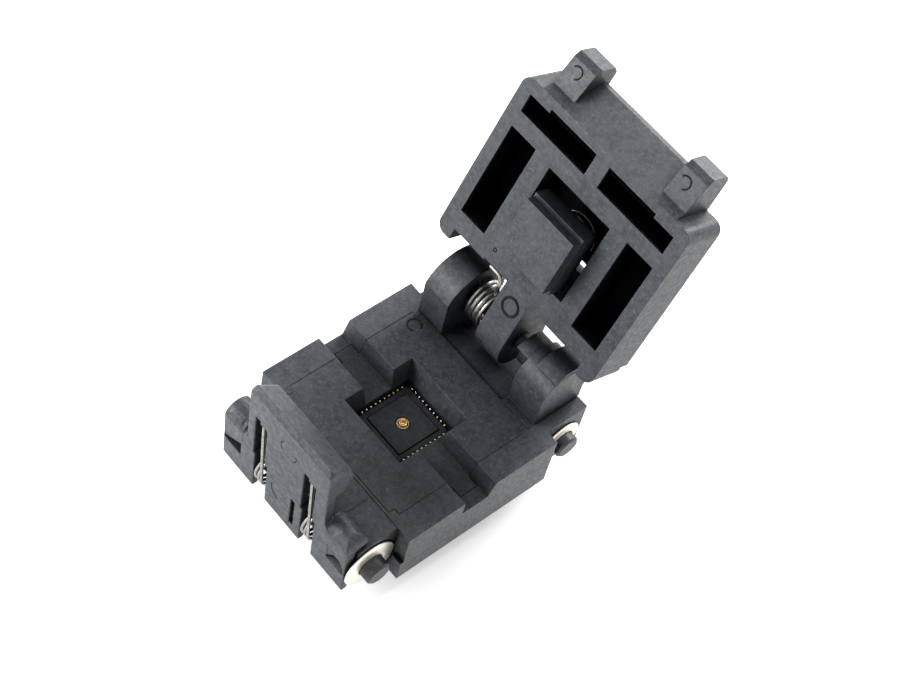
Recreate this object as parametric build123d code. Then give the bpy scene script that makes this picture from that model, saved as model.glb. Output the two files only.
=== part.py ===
from build123d import *
import math
import os

# Everything is in millimetres. X is the width, -Y is the latch side, +Z is up.
# Z = 0 is the face of the circuit board that the socket stands on.

# clearances
fixed_gap = 0.05
moving_gap = 0.25
ear_gap = 0.20
pin_fit = 0.03
spring_gap = 0.12

# heights
stand_off = 0.50
contact_plane = 4.60
base_top = 6.85
groove_floor = 5.17
base_mid = (stand_off + base_top) / 2
tail_reach = 2.20
through = 40.0

# base housing in plan
block_half = 7.50
end_wall = 1.20
end_half = block_half + fixed_gap + end_wall
side_step = 1.29
base_half = end_half + side_step
lug_half = end_half - 0.30
base_front = -7.85
base_rear = 8.74
front_pin_y = -10.50
web_top = 1.05
web_front = -11.00
nose_radius = (base_top - stand_off) / 2 - 0.05
rear_end = 13.40
toe_out = 0.35
toe_top = 3.10
foot_radius = 1.30
foot_x = 7.90
post_radius = 0.80
post_x = 7.90
post_front = -6.60
post_rear = 7.60
groove_front = -1.74
groove_foot = 1.10
groove_crest = 1.68

# contact nest
nest_half = 7.55
nest_front = -7.55
nest_rear = 7.50
nest_notch = 0.65
tab_half = 8.68
tab_front = -0.80
tab_rear = 1.05
nest_bottom = 2.40
tab_bottom = 4.20
pocket_top_half = 3.80
package_half = 3.07
pocket_step = 5.05
trench_inner = 2.34
trench_outer = 3.42
trench_floor = 3.40
rest_half = 2.22
rest_top = 4.55
rest_bottom = 3.00

# contacts
contact_pitch = 0.50
contact_count = 10
contact_row = 2.90
contact_thick = 0.20
contact_width = 0.25
tail_bend = 2.05
slot_width = 0.30

# retainer plate below the nest
retainer_half = 6.50
tail_rim = 0.83
tail_step = 1.27
tail_far = retainer_half - tail_rim
tail_near = tail_far - tail_step
retainer_bottom = 0.70
retainer_top = 1.60
floor_lip = 0.60

# centre pin
crown_radius = 0.43
shoulder_radius = 0.50
shoulder_top = 3.68
crown_bore = 0.22
crown_top = 4.74
crown_travel = 0.35
sleeve_radius = 0.66
sleeve_top = 4.10
sleeve_floor = 1.20

# latch, front view and side view
latch_pin_radius = 1.20
latch_swing = 14.0
ear_half = lug_half - 0.23
ear_top = 8.25
ear_brow = 7.25
ear_back = -10.70
ear_root = 4.90
latch_foot = 0.62
foot_front = -12.80
foot_break = 3.20
plate_front_low = -12.93
plate_front_high = -13.38
plate_back_low = -12.05
plate_back_high = -12.30
tongue_half = 5.10
tongue_top = 15.90
chamfer_low = 15.35
nose_tip_y = -11.35
nose_tip_top = 14.05
nose_under = 11.85
hub_wall = -8.30
hub_radius = 1.88
recess_back = -11.90
lug_inner = 4.75
slot_inset_left = 1.73
slot_inset_right = 1.99
spring_slot_left = slot_inset_left - tongue_half
spring_slot_right = tongue_half - slot_inset_right
spring_slot_half = 0.84
hub_side = 0.12
hub_half = spring_slot_right - spring_slot_half - hub_side
arm_offset = 0.57
arm_lean = 0.78
slot_break = 6.25
slot_top = 12.10
wire_radius = 0.21
latch_coil_y = -10.95
latch_coil_z = 3.45
latch_coil_radius = 2.00
latch_turns = 2.25
latch_pitch = 0.46
arm_top = 11.40

# cross pins
pin_stub = 1.25
head_thick = 0.55
head_radius = 1.60
washer_thick = 0.30
washer_gap = 0.06
washer_radius = 2.60
rear_washer_radius = 2.10
rear_pin_y = 10.90
cross_pin_radius = 1.20

# hinge block and hinge axis
hinge_y = 11.30
hinge_z = contact_plane + 5.30
hinge_pin_radius = 0.90
ear_centre_y = 10.90
ear_centre_z = contact_plane + 5.15
ear_radius = 3.55
block_front = nest_rear + fixed_gap
block_rear = 13.40
gap_left = -4.40
gap_right = 4.00
gap_floor = contact_plane + 2.05
pit_front = 9.80
pit_floor = 5.40
small_ear_radius = 2.60
boss_inner = 2.50
boss_radius = 1.45
hood_radius = 2.45
hood_low = contact_plane + 7.10
spring_leg_y = 12.40
spring_leg_z = 4.95

# lid, measured closed: s runs from the hinge edge to the free edge, n is depth
open_angle = 112.7
face_drop = 2.80
lid_reach = 6.86
lid_thick = 4.60
lid_half = base_half
lid_edge = -1.85
foot_edge = -3.05
foot_inner = 8.30
body_end = 14.35
beam_end = 16.45
beam_half = 8.00
beam_low = 3.70
lug_low = 5.35
lug_high = 8.00
lug_tip = 18.10
cell_depth = 3.40
knuckle_half = 1.50
knuckle_radius = 2.78
recess_half = 3.75
recess_low = 0.90
recess_high = 9.41
back_plate = 1.10
window_left = 0.86
window_right = 2.51
window_low = 1.90
window_high = 3.00

# pressure pad
pad_half_x = 2.88
pad_half_s = 2.76
pad_out = 2.30
flange_extra_x = 0.10
flange_extra_s = 0.36
flange_low = -1.30
pad_back = 0.60
pad_centre = 4.53
stem_radius = 1.20
pad_travel = 1.00
ring_radius = 2.00
pad_coil_radius = 2.05

# lid spring
lid_coil_radius = 1.85
lid_wire = 0.23
lid_pitch = 0.50
hook_end = -3.60
hook_s = -1.90
hook_n = 0.22


def block(x0, x1, y0, y1, z0, z1):
    size = Box(x1 - x0, y1 - y0, z1 - z0)
    return Pos((x0 + x1) / 2, (y0 + y1) / 2, (z0 + z1) / 2) * size


def rod_x(x0, x1, y, z, radius):
    rod = Cylinder(radius, x1 - x0)
    return Pos((x0 + x1) / 2, y, z) * Rot(0, 90, 0) * rod


def rod_z(x, y, z0, z1, radius):
    return Pos(x, y, (z0 + z1) / 2) * Cylinder(radius, z1 - z0)


def slab_x(points, x0, x1):
    face = make_face(Polyline(*[(0, y, z) for y, z in points], close=True))
    return Pos(x0, 0, 0) * extrude(face, amount=x1 - x0, dir=(1, 0, 0))


def slab_z(points, z0, z1):
    face = make_face(Polyline(*[(x, y, z0) for x, y in points], close=True))
    return extrude(face, amount=z1 - z0, dir=(0, 0, 1))


def wire_rod(path, radius, sides=6):
    """A mitred rod of bent wire along a path of points, with flat sides."""
    points = [Vector(*p) for p in path]
    runs = [(b - a).normalized() for a, b in zip(points, points[1:])]
    side = runs[0].cross(Vector(0.31, 0.17, 0.93)).normalized()
    other = runs[0].cross(side).normalized()
    ring = []
    for i in range(sides):
        angle = 2 * math.pi * i / sides
        ring.append(points[0] + side * (radius * math.cos(angle)) + other * (radius * math.sin(angle)))
    rings = [ring]
    for i, run in enumerate(runs):
        normal = (run + runs[i + 1]).normalized() if i + 1 < len(runs) else run
        target = points[i + 1]
        rings.append([v + run * ((target - v).dot(normal) / run.dot(normal)) for v in rings[-1]])
    faces = []
    for low, high in zip(rings, rings[1:]):
        for k in range(sides):
            m = (k + 1) % sides
            corners = [low[k], low[m], high[m], high[k]]
            faces.append(Face(Wire.make_polygon(corners, close=True)))
    faces.append(Face(Wire.make_polygon(rings[0], close=True)))
    faces.append(Face(Wire.make_polygon(rings[-1], close=True)))
    return Solid(Shell(faces))


def coil_path(x0, pitch, turns, y, z, radius, start, steps=12):
    """Points of a coil round an axis along X. start is in degrees from +Y."""
    points = []
    total = round(turns * steps)
    for i in range(total + 1):
        angle = math.radians(start + 360 * i / steps)
        points.append((x0 + pitch * i / steps, y + radius * math.cos(angle), z + radius * math.sin(angle)))
    return points


def ribbon(points, width):
    """Outline of a bent strip of one width along a line of (r, z) points."""
    left = []
    right = []
    for i, (r, z) in enumerate(points):
        before = points[max(i - 1, 0)]
        after = points[min(i + 1, len(points) - 1)]
        d1 = Vector(r - before[0], z - before[1], 0)
        d2 = Vector(after[0] - r, after[1] - z, 0)
        if i == 0:
            d1 = d2
        if i == len(points) - 1:
            d2 = d1
        d1 = d1.normalized()
        d2 = d2.normalized()
        n1 = Vector(-d1.Y, d1.X, 0)
        n2 = Vector(-d2.Y, d2.X, 0)
        mean = (n1 + n2).normalized()
        reach = width / 2 / mean.dot(n1)
        left.append((r + mean.X * reach, z + mean.Y * reach))
        right.append((r - mean.X * reach, z - mean.Y * reach))
    return left + right[::-1]


def notched(grow):
    """Plan outline of the nest with its four notched corners, grown all round."""
    points = []
    corners = [(-nest_half, nest_front), (nest_half, nest_front), (nest_half, nest_rear), (-nest_half, nest_rear)]
    for i, (cx, cy) in enumerate(corners):
        ox = cx + math.copysign(grow, cx)
        oy = cy + math.copysign(grow, cy)
        ix = ox - math.copysign(nest_notch, cx)
        iy = oy - math.copysign(nest_notch, cy)
        if i % 2 == 0:
            points += [(ox, iy), (ix, iy), (ix, oy)]
        else:
            points += [(ix, oy), (ix, iy), (ox, iy)]
    return points


def arc(cx, cy, radius, first, last, steps=5):
    """Points on a part of a circle between two angles in degrees."""
    turns = [math.radians(first + (last - first) * i / steps) for i in range(steps + 1)]
    return [(cx + radius * math.cos(t), cy + radius * math.sin(t)) for t in turns]


os.makedirs("parts", exist_ok=True)
parts = {}

# base housing: centre block, rounded front end, square rear end
base = block(-base_half, base_half, base_front, base_rear, stand_off, base_top)
front = block(-lug_half, lug_half, front_pin_y, base_front + 0.5, stand_off + 0.05, base_top - 0.05)
nose = rod_x(-lug_half, lug_half, front_pin_y, base_mid, nose_radius)
rear = block(-end_half, end_half, base_rear, rear_end, stand_off, base_top)
base = base + front + nose + rear
for side in (-1, 1):
    xs = sorted((side * lug_half, side * base_half))
    toe = block(xs[0], xs[1], base_front - toe_out, base_front, stand_off, toe_top)
    base = base + toe
# tweezer groove from side to side with a ramp at the rear
groove = slab_x([(groove_front, base_top + 1), (groove_front, groove_floor), (groove_foot, groove_floor),
                 (groove_crest, base_top), (groove_crest, base_top + 1)], -base_half - 1, base_half + 1)
base = base - groove
# seat for the nest, its tabs and the retainer below it
base = base - slab_z(notched(fixed_gap), nest_bottom - fixed_gap, through)
tab_x = tab_half + fixed_gap
base = base - block(-tab_x, tab_x, tab_front - fixed_gap, tab_rear + fixed_gap, tab_bottom - fixed_gap, through)
well = retainer_half + fixed_gap
base = base - block(-well, well, -well, well, retainer_bottom - fixed_gap, nest_bottom)
window = retainer_half - floor_lip
base = base - block(-window, window, -window, window, 0, nest_bottom)
# front end: open middle for the latch hub, recess for the latch ears, relief below
base = base - block(-lug_inner, lug_inner, -through, hub_wall, 0, through)
slope = math.tan(math.radians(latch_swing + 2))
low_back = recess_back + base_mid * slope
base = base - slab_x([(-through, through), (recess_back, through), (recess_back, base_mid - 0.6), (low_back, 0),
                      (-through, 0)], -through, through)
base = base + block(-lug_inner - 0.1, lug_inner + 0.1, web_front, hub_wall + 0.1, stand_off, web_top)
base = base - rod_x(-through, through, front_pin_y, base_mid, latch_pin_radius + pin_fit)
# clearance for the washer, and a notch under each latch spring's short leg
washer_in = lug_half + washer_gap
washer_out = washer_in + washer_thick
base = base - rod_x(lug_half, washer_out + 0.1, front_pin_y, base_mid, washer_radius + fixed_gap)
leg_z = latch_coil_z - latch_coil_radius
for centre in (spring_slot_left, spring_slot_right):
    leg_x = centre + arm_offset - latch_turns * latch_pitch
    base = base - block(leg_x - 0.32, leg_x + 0.32, hub_wall - 0.1, hub_wall + 0.6, 0, leg_z + wire_radius + 0.03)
# rear end: slot for the hinge block and the rear pin bore
slot_x = block_half + fixed_gap
base = base - block(-slot_x, slot_x, nest_rear, through, stand_off + 1.2 - fixed_gap, through)
base = base - rod_x(-through, through, rear_pin_y, base_mid, cross_pin_radius + pin_fit)
# stand-off feet and the two alignment posts
for x, y in ((-foot_x, post_front), (foot_x, post_front), (-foot_x, post_rear), (foot_x, post_rear)):
    base = base + rod_z(x, y, 0, stand_off + 0.1, foot_radius)
for x, y in ((-post_x, post_front), (post_x, post_rear)):
    base = base + rod_z(x, y, -tail_reach, stand_off + 0.1, post_radius)
parts["base_housing"] = base

# contact nest with notched corners, tabs, chip pocket, trench and contact slots
nest = slab_z(notched(0), nest_bottom, base_top)
tabs = block(-tab_half, tab_half, tab_front, tab_rear, tab_bottom, base_top)
nest = nest + tabs - groove
funnel_low = Plane.XY.offset(pocket_step) * Rectangle(package_half * 2, package_half * 2)
funnel_high = Plane.XY.offset(base_top) * Rectangle(pocket_top_half * 2, pocket_top_half * 2)
nest = nest - loft([funnel_low.face(), funnel_high.face()])
nest = nest - block(-package_half, package_half, -package_half, package_half, contact_plane - 0.1, 6)
ring = block(-trench_outer, trench_outer, -trench_outer, trench_outer, trench_floor, contact_plane)
core = block(-trench_inner, trench_inner, -trench_inner, trench_inner, trench_floor, contact_plane)
nest = nest - (ring - core)
nest = nest - block(-trench_inner, trench_inner, -trench_inner, trench_inner, rest_bottom, contact_plane)
nest = nest - rod_z(0, 0, 0, 6, sleeve_radius + pin_fit)
first = -contact_pitch * (contact_count - 1) / 2
places = [first + contact_pitch * i for i in range(contact_count)]
slots = []
for place in places:
    half = slot_width / 2
    for side in (-1, 1):
        a, b = sorted((side * (contact_row - 0.22), side * (contact_row + 0.45)))
        slots.append(block(place - half, place + half, a, b, nest_bottom - 1, trench_floor + 0.1))
        slots.append(block(a, b, place - half, place + half, nest_bottom - 1, trench_floor + 0.1))
nest = nest - slots
parts["contact_nest"] = nest

# package rest, the island inside the contact rows
rest = block(-rest_half, rest_half, -rest_half, rest_half, rest_bottom, rest_top)
rest = rest - rod_z(0, 0, 0, 6, sleeve_radius + pin_fit)
parts["package_rest"] = rest

# one contact strip for each tail row, then four rows of them
tip = contact_plane + 0.04
strips = []
for tail in (tail_near, tail_far):
    line = [(contact_row, tip), (contact_row, tip - 0.40), (contact_row + 0.30, tip - 0.80),
            (contact_row, tip - 1.20), (contact_row, tail_bend), (tail, tail_bend), (tail, -tail_reach)]
    strips.append(ribbon(line, contact_width))
rows = {"contacts_front": -90, "contacts_rear": 90, "contacts_left": 180, "contacts_right": 0}
for name, turn in rows.items():
    group = []
    for i, place in enumerate(places):
        face = make_face(Polyline(*[(r, 0, z) for r, z in strips[i % 2]], close=True))
        strip = extrude(face, amount=contact_thick / 2, dir=(0, 1, 0), both=True)
        group.append(Rot(0, 0, turn) * Pos(0, place, 0) * strip)
    parts[name] = Compound(children=group)

# retainer plate that spaces the tails
retainer = block(-retainer_half, retainer_half, -retainer_half, retainer_half, retainer_bottom, retainer_top)
holes = []
for i, place in enumerate(places):
    tail = (tail_near, tail_far)[i % 2]
    for turn in rows.values():
        hole = Box(contact_width + 0.1, contact_thick + 0.1, 4)
        holes.append(Rot(0, 0, turn) * Pos(tail, place, 1) * hole)
retainer = retainer - holes - rod_z(0, 0, -3, 3, sleeve_radius + pin_fit)
parts["contact_retainer"] = retainer

# centre pin: sleeve, crown plunger and the small spring under it
sleeve = rod_z(0, 0, retainer_bottom, sleeve_top, sleeve_radius)
sleeve = sleeve + rod_z(0, 0, -tail_reach, retainer_bottom + 0.1, 0.30)
sleeve = sleeve - rod_z(0, 0, sleeve_floor, shoulder_top + 0.04, shoulder_radius + pin_fit)
sleeve = sleeve - rod_z(0, 0, sleeve_floor, sleeve_top + 1, crown_radius + pin_fit)
parts["centre_pin_sleeve"] = sleeve
crown_foot = 3.10
crown = rod_z(0, 0, crown_foot, crown_top, crown_radius)
crown = crown + rod_z(0, 0, crown_foot, shoulder_top, shoulder_radius)
crown = crown - rod_z(0, 0, crown_top - 0.40, crown_top + 1, crown_bore)
crown = crown - block(-1, 1, -0.08, 0.08, crown_top - 0.16, crown_top + 1)
crown = crown - block(-0.08, 0.08, -1, 1, crown_top - 0.16, crown_top + 1)
parts["centre_pin_crown"] = crown
turns = 4
rise = (crown_foot - 0.02 - sleeve_floor - 0.02 - 0.12) / turns
coil = []
for i in range(turns * 8 + 1):
    angle = math.radians(45 * i)
    coil.append((0.38 * math.cos(angle), 0.38 * math.sin(angle), sleeve_floor + 0.08 + rise * i / 8))
parts["centre_pin_spring"] = wire_rod(coil, 0.05, 4)

groove_y = plate_front_high + 0.62
# latch plate in side view: leaning face, chamfer, ramp, nose and catch face
nose_lip = 0.25
tongue_foot = ear_brow - 1.4
lean = (plate_front_high - plate_front_low) / (chamfer_low - foot_break)
tongue = slab_x([(plate_front_low + lean * (tongue_foot - foot_break), tongue_foot), (plate_front_high, chamfer_low),
                 (plate_front_high + 0.42, tongue_top), (nose_tip_y, nose_tip_top),
                 (nose_tip_y, nose_under + nose_lip), (nose_tip_y - 0.12, nose_under),
                 (plate_back_high, nose_under), (plate_back_high, tongue_foot)], -tongue_half - 0.9, tongue_half + 0.9)
plate = slab_x([(foot_front, latch_foot), (plate_front_low, foot_break),
                (plate_front_low + lean * (ear_brow - foot_break), ear_brow), (plate_back_low, ear_brow),
                (plate_back_low, latch_foot + 0.5), (plate_back_low - 0.2, latch_foot)], -ear_half, ear_half)
# the ears rise to a dome and reach back over the rounded lugs of the base
brow_y = plate_front_low + lean * (ear_brow - foot_break)
dome_y = (brow_y + ear_back) / 2
dome_rise = ear_top - ear_brow
dome_half = (ear_back - brow_y) / 2
dome = [(dome_y + dome_half * math.cos(t), ear_brow + dome_rise * math.sin(t))
        for t in [math.pi * i / 8 for i in range(9)]]
dome = dome + [(brow_y, ear_brow - 0.8), (plate_back_low + 0.1, ear_brow - 0.8), (ear_back, ear_brow - 0.15)]
for a, b in ((-ear_half, -ear_root), (ear_root, ear_half)):
    cap = slab_x(dome, a, b) - rod_x(-through, through, front_pin_y, base_mid, nose_radius + moving_gap)
    plate = plate + cap
# front outline of the latch: domed ears, a valley beside the tongue, round tongue corners
right = [(ear_half, 0), (ear_half, ear_brow - 0.35)]
right += arc(ear_half - 1.2, ear_top - 1.2, 1.2, 12, 90, 5)
right += [(ear_half - 1.7, ear_top - 0.05), (tongue_half + 1.2, ear_brow + 0.25), (tongue_half + 0.65, ear_brow)]
right += [(tongue_half + 0.3, ear_brow + 0.3), (tongue_half + 0.08, ear_brow + 0.85), (tongue_half, ear_brow + 1.6)]
right += arc(tongue_half - 0.8, tongue_top - 0.8, 0.8, 0, 90, 5)
left = [(-x, z) for x, z in right[::-1]]
face = make_face(Polyline(*[(x, -through / 2, z) for x, z in right + left], close=True))
latch = (tongue + plate) & extrude(face, amount=through, dir=(0, 1, 0))
hub = rod_x(-hub_half, hub_half, front_pin_y, base_mid, hub_radius)
web = block(-hub_half, hub_half, plate_back_low - 0.1, front_pin_y, base_mid - 1.35, base_mid + 1.35)
latch = latch + hub + web
latch = latch - rod_x(-through, through, front_pin_y, base_mid, latch_pin_radius + pin_fit)
for centre in (spring_slot_left, spring_slot_right):
    arm_x = centre + arm_offset - arm_lean
    cut_end = front_pin_y + 1
    latch = latch - block(centre - spring_slot_half, centre + spring_slot_half, -through, cut_end, 0, slot_break)
    latch = latch - block(arm_x - 0.85, arm_x - 0.27, -through, cut_end, slot_break - 0.1, slot_top)
    latch = latch - block(arm_x - 0.28, arm_x + 0.70, -through, groove_y, slot_break - 0.1, arm_top + 0.25)
# blind slot and the two slanted recesses on the front
latch = latch - block(0.84, 1.36, -through, plate_front_low + 0.45, 1.78, 5.82)
quads = [[(-8.5, 3.08), (-7.7, 4.15), (-6.35, 4.85), (-6.2, 3.3)], [(5.74, 2.95), (6.25, 3.9), (7.65, 4.4), (7.85, 3.15)]]
for quad in quads:
    face = make_face(Polyline(*[(x, -through / 2, z) for x, z in quad], close=True))
    latch = latch - extrude(face, amount=plate_front_low + 0.45 + through / 2, dir=(0, 1, 0))
parts["latch"] = latch

# latch pin with its flat head on the left, and the push-on washer on the right


def cross_pin(face_x, y, radius):
    """Cross pin with a flat head on the left and a chamfered end on the right."""
    head_x = -face_x - fixed_gap
    tip = end_half + pin_stub
    shape = rod_x(head_x, tip - 0.2, y, base_mid, radius)
    shape = shape + rod_x(head_x - head_thick, head_x, y, base_mid, head_radius)
    return shape + Pos(tip - 0.1, y, base_mid) * Rot(0, 90, 0) * Cone(radius, radius - 0.2, 0.2)


parts["latch_pin"] = cross_pin(lug_half, front_pin_y, latch_pin_radius)
washer = rod_x(washer_in, washer_out, front_pin_y, base_mid, washer_radius)
washer = washer - rod_x(0, through, front_pin_y, base_mid, latch_pin_radius + 0.005)
parts["latch_pin_washer"] = washer

# latch springs: coil round the pin, long arm up the front, short arm into the base
for name, centre in (("latch_spring_left", spring_slot_left), ("latch_spring_right", spring_slot_right)):
    x0 = centre + arm_offset
    path = coil_path(x0, -latch_pitch, latch_turns, latch_coil_y, latch_coil_z, latch_coil_radius, 180, 12)
    arm_y = groove_y - wire_radius - 0.04
    arm = [(x0 - arm_lean, arm_y, arm_top), (x0 - 0.38, arm_y, slot_break - 0.2)]
    tail = path[-1]
    leg = [(tail[0], hub_wall + 0.4, tail[2])]
    parts[name] = wire_rod(arm + path + leg, wire_radius, 5)

# hinge block: foot in the base, two rounded ears with a gap between them
foot = block(-block_half, block_half, block_front, block_rear, stand_off + 1.2, base_top)
ear_low = block(-block_half, gap_left, ear_centre_y - ear_radius, ear_centre_y + ear_radius, base_top, ear_centre_z)
ear_round = rod_x(-block_half, gap_left, ear_centre_y, ear_centre_z, ear_radius)
ear_round = ear_round - block(-through, through, 0, through, 0, base_top)
small_front = ear_centre_y - small_ear_radius
small_low = block(gap_right, block_half, small_front, ear_centre_y + small_ear_radius, base_top, ear_centre_z)
small_round = rod_x(gap_right, block_half, ear_centre_y, ear_centre_z, small_ear_radius)
boss = rod_x(boss_inner, gap_right, hinge_y, hinge_z, boss_radius)
hood = rod_x(boss_inner, gap_right, ear_centre_y, ear_centre_z, hood_radius)
boss = boss + (hood - block(0, through, 0, through, 0, hood_low))
trim = slab_x([(block_rear, base_top - 0.1), (ear_centre_y + ear_radius + 0.1, base_top + 0.7),
               (ear_centre_y + ear_radius + 1, base_top - 0.1)], -through, through)
hinge = foot + ear_low + ear_round + small_low + small_round - trim
hinge = hinge - block(-through, through, 0, block_front, 0, through)
hinge = hinge - block(gap_left, gap_right, 0, through, gap_floor, through)
hinge = hinge - block(gap_left, gap_right, pit_front, through, pit_floor, through)
hinge = hinge + boss
leg_slot = gap_left + 2 * lid_wire + 0.20
hinge = hinge - block(gap_left, leg_slot, spring_leg_y - 0.32, spring_leg_y + 0.40, spring_leg_z - 0.08, pit_floor + 0.1)
hinge = hinge - rod_x(-block_half - 1, block_half - 0.6, hinge_y, hinge_z, hinge_pin_radius + 0.01)
hinge = hinge - rod_x(-through, through, rear_pin_y, base_mid, cross_pin_radius + pin_fit)
parts["hinge_block"] = hinge
parts["rear_pin"] = cross_pin(end_half, rear_pin_y, cross_pin_radius)
rear_in = end_half + washer_gap
rear_washer = rod_x(rear_in, rear_in + washer_thick, rear_pin_y, base_mid, rear_washer_radius)
rear_washer = rear_washer - rod_x(0, through, rear_pin_y, base_mid, cross_pin_radius + 0.005)
parts["rear_pin_washer"] = rear_washer
parts["hinge_pin"] = rod_x(-block_half + 0.10, block_half - 0.65, hinge_y, hinge_z, hinge_pin_radius)

# the lid is drawn closed: y = zero_y - s and z = face_z + n, then swung open
zero_y = hinge_y - lid_reach
face_z = hinge_z - face_drop


def lid_box(x0, x1, s0, s1, n0, n1):
    return block(x0, x1, zero_y - s1, zero_y - s0, face_z + n0, face_z + n1)


def lid_slab(points, x0, x1):
    return slab_x([(zero_y - s, face_z + n) for s, n in points], x0, x1)


def swing(shape):
    return Pos(0, hinge_y, hinge_z) * Rot(-open_angle, 0, 0) * Pos(0, -hinge_y, -hinge_z) * shape


lid = lid_box(-lid_half, lid_half, lid_edge, body_end, 0, lid_thick)
beam = lid_slab([(body_end - 1, 0), (body_end, 0), (beam_end, beam_low), (beam_end, lid_thick - 0.3),
                 (beam_end - 0.3, lid_thick), (body_end - 1, lid_thick)], -beam_half, beam_half)
lid = lid + beam
for side in (-1, 1):
    a, b = sorted((side * foot_inner, side * lid_half))
    lid = lid + lid_box(a, b, foot_edge, lid_edge + 0.1, 0, lid_thick - 0.9)
    a, b = sorted((side * lug_low, side * lug_high))
    lug = lid_slab([(body_end - 0.5, 0.7), (body_end + 1.2, 1.1), (lug_tip - 0.5, 1.7), (lug_tip, 2.2),
                    (lug_tip, lid_thick - 0.5), (lug_tip - 0.5, lid_thick), (body_end - 1, lid_thick)], a, b)
    lid = lid + lug
# corners of the frame in plan
for side in (-1, 1):
    for s, radius, sign in ((body_end, 1.0, 1), (foot_edge, 1.0, -1)):
        cut = Box(radius, radius, 12) - Pos(-radius / 2, -radius / 2, 0) * Cylinder(radius, 14)
        x = side * (lid_half - radius / 2)
        y = zero_y - s + sign * radius / 2
        turn = {(1, 1): -90, (-1, 1): 180, (1, -1): 0, (-1, -1): 90}[(side, sign)]
        lid = lid - Pos(x, y, face_z + 2) * Rot(0, 0, turn) * cut
# cored cells of the inner face
cells = []
for side in (-1, 1):
    a, b = sorted((side * 5.66, side * 8.72))
    cells.append(lid_box(a, b, 0, 9.69, -1, cell_depth))
    a, b = sorted((side * 0.79, side * 8.71))
    cells.append(lid_box(a, b, 11.29, 13.10, -1, cell_depth))
    a, b = sorted((side * 0.79, side * 6.35))
    cells.append(lid_box(a, b, 13.05, 13.49, -1, cell_depth))
lid = lid - cells
# recess of the pressure pad, stem hole, ring seat and the small window
lid = lid - lid_box(-recess_half, recess_half, recess_low, recess_high, -1, lid_thick - back_plate)
stem_y = zero_y - pad_centre
lid = lid - rod_z(0, stem_y, 0, through, stem_radius + 0.06)
lid = lid - rod_z(0, stem_y, face_z + lid_thick - 0.45, through, ring_radius + 0.15)
lid = lid - lid_box(window_left, window_right, window_low, window_high, -1, through)
# centre knuckle with its pin bore
arm = lid_box(-knuckle_half, knuckle_half, -lid_reach, 0.2, 0, lid_thick)
arm = arm - lid_box(-through, through, -lid_reach - 1, lid_edge - 2.2, face_drop + 1.0, through)
arm = arm + rod_x(-knuckle_half, knuckle_half, hinge_y, hinge_z, knuckle_radius)
arm = arm - lid_box(-through, through, recess_low, through, -1, through)
lid = lid + arm
lid = lid - rod_x(-through, through, hinge_y, hinge_z, hinge_pin_radius + pin_fit)
# step in the hinge edge for the hook of the lid spring
lid = lid - lid_box(gap_left, -knuckle_half, lid_edge - 1, hook_s + lid_wire + 0.05, -1, hook_n + lid_wire + 0.05)
parts["lid"] = swing(lid)

# pressure pad with flange and stem, its ring and its spring
pad = lid_box(-pad_half_x, pad_half_x, pad_centre - pad_half_s, pad_centre + pad_half_s, -pad_out, pad_back)
flange_x = pad_half_x + flange_extra_x
flange_s = pad_half_s + flange_extra_s
pad = pad + lid_box(-flange_x, flange_x, pad_centre - flange_s, pad_centre + flange_s, flange_low, pad_back)
pad = pad + rod_z(0, stem_y, face_z, face_z + lid_thick + 0.25, stem_radius)
parts["pressure_pad"] = swing(pad)
ring_low = face_z + lid_thick - 0.40
pad_ring = rod_z(0, stem_y, ring_low, ring_low + 0.30, ring_radius) - rod_z(0, stem_y, 0, through, stem_radius + 0.005)
parts["pad_ring"] = swing(pad_ring)
pad_wire = 0.18
low = face_z + pad_back + pad_wire + 0.04
high = face_z + lid_thick - back_plate - pad_wire - 0.04
pad_turns = 3
coil = []
pad_steps = 12
for i in range(pad_turns * pad_steps + 1):
    angle = 2 * math.pi * i / pad_steps
    height = low + (high - low) * i / (pad_turns * pad_steps)
    coil.append((pad_coil_radius * math.cos(angle), stem_y + pad_coil_radius * math.sin(angle), height))
parts["pad_spring"] = swing(wire_rod(coil, pad_wire, 4))

# lid spring: close coil round the hinge pin, lower leg in a slot of the pit floor, hook under the lid's edge
leg_y = spring_leg_y
leg_z = spring_leg_z
reach = math.hypot(leg_y - hinge_y, leg_z - hinge_z)
start = math.degrees(math.atan2(leg_z - hinge_z, leg_y - hinge_y)) + math.degrees(math.acos(lid_coil_radius / reach))
start = start % 360
steps = 12
count = round((4 * 360 + 60 - start + 360) / (360 / steps))
path = coil_path(gap_left + 0.07 + lid_wire, lid_pitch, count / steps, hinge_y, hinge_z, lid_coil_radius, start, steps)
lean_y = math.sin(math.radians(open_angle))
lean_z = math.cos(math.radians(open_angle))


def open_point(x, s, n):
    """Place of a lid point with the lid open."""
    along = s + lid_reach
    deep = n - face_drop
    return (x, hinge_y - lean_z * along + lean_y * deep, hinge_z + lean_y * along + lean_z * deep)


end_x = path[-1][0]
hook = [open_point(end_x, hook_s - 1.5, hook_n), open_point(end_x, hook_s, hook_n), open_point(hook_end, hook_s, hook_n)]
parts["lid_spring"] = wire_rod([(path[0][0], leg_y, leg_z)] + path + hook, lid_wire, 5)

total = 0
for name, shape in parts.items():
    shape.label = name
    export_step(shape, f"parts/{name}.step")
    solids = shape.solids()
    volume = sum(s.volume for s in solids)
    total += volume
    print(f"{name:20s} solids {len(solids):3d}  volume {volume:9.3f}  valid {shape.is_valid}")
print("total", round(total, 1))
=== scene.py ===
import bmesh
import bpy
import math
from mathutils import Matrix, Vector


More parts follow.
